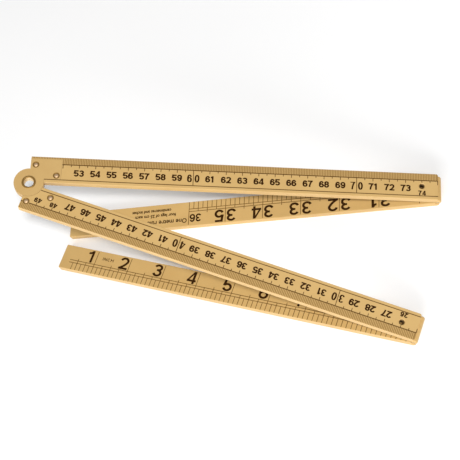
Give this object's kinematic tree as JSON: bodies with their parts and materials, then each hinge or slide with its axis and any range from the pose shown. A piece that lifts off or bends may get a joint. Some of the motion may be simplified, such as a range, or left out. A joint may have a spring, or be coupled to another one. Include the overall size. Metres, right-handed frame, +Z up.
{
  "type": "folding rule",
  "caption": "Plastic folding metre rule: flat legs on a hollow-eyelet arch joint and knuckle end hinges, standing half folded.",
  "frame": {"origin": "middle of the footprint, on the surface the rule stands on", "axes": "+X from the arch joint towards the end hinges, +Z up, away from the surface"},
  "size_m": [0.2512, 0.1086, 0.0977],
  "materials": {
    "leg_plastic": "satin moulded",
    "arch_leaf_plastic": "satin moulded",
    "hinge_plastic": "satin moulded",
    "eyelet_brass": "rolled, satin",
    "rivet_brass": "pressed, satin",
    "tube_rivet_brass": "dull",
    "pin_steel": "drawn"
  },
  "bodies": {
    "leg_50_to_75": {"leg_50_to_75": "leg_plastic", "arch_leaf_upper": "arch_leaf_plastic", "arch_eyelet": "eyelet_brass", "upper_leaf_rivet_near": "rivet_brass", "upper_leaf_rivet_far": "rivet_brass", "hinge_leaf_75_inner": "hinge_plastic", "hinge_rivet_75_inner": "tube_rivet_brass", "hinge_pin_75": "pin_steel"},
    "leg_25_to_50": {"leg_25_to_50": "leg_plastic", "arch_leaf_lower": "arch_leaf_plastic", "lower_leaf_rivet_near": "rivet_brass", "lower_leaf_rivet_far": "rivet_brass", "hinge_leaf_25_inner": "hinge_plastic", "hinge_rivet_25_inner": "tube_rivet_brass", "hinge_pin_25": "pin_steel"},
    "leg_75_to_100": {"leg_75_to_100": "leg_plastic", "hinge_leaf_75_outer": "hinge_plastic", "hinge_rivet_75_outer": "tube_rivet_brass"},
    "leg_0_to_25": {"leg_0_to_25": "leg_plastic", "hinge_leaf_25_outer": "hinge_plastic", "hinge_rivet_25_outer": "tube_rivet_brass"}
  },
  "joints": [
    {"name": "arch_joint", "type": "hinge", "parent": "leg_50_to_75", "child": "leg_25_to_50", "pos_m": [-0.10784, 0, 0.09243], "axis": [0.3454, 0, 0.9385], "range_deg": [-163, 17]},
    {"name": "hinge_75", "type": "hinge", "parent": "leg_50_to_75", "child": "leg_75_to_100", "pos_m": [0.1226, 0.04583, 0.00507], "axis": [-0.1387, 0.989, 0.051], "range_deg": [-160, 20]},
    {"name": "hinge_25", "type": "hinge", "parent": "leg_25_to_50", "child": "leg_0_to_25", "pos_m": [0.1226, -0.04583, 0.00507], "axis": [0.1387, 0.989, -0.051], "range_deg": [-160, 20]}
  ]
}
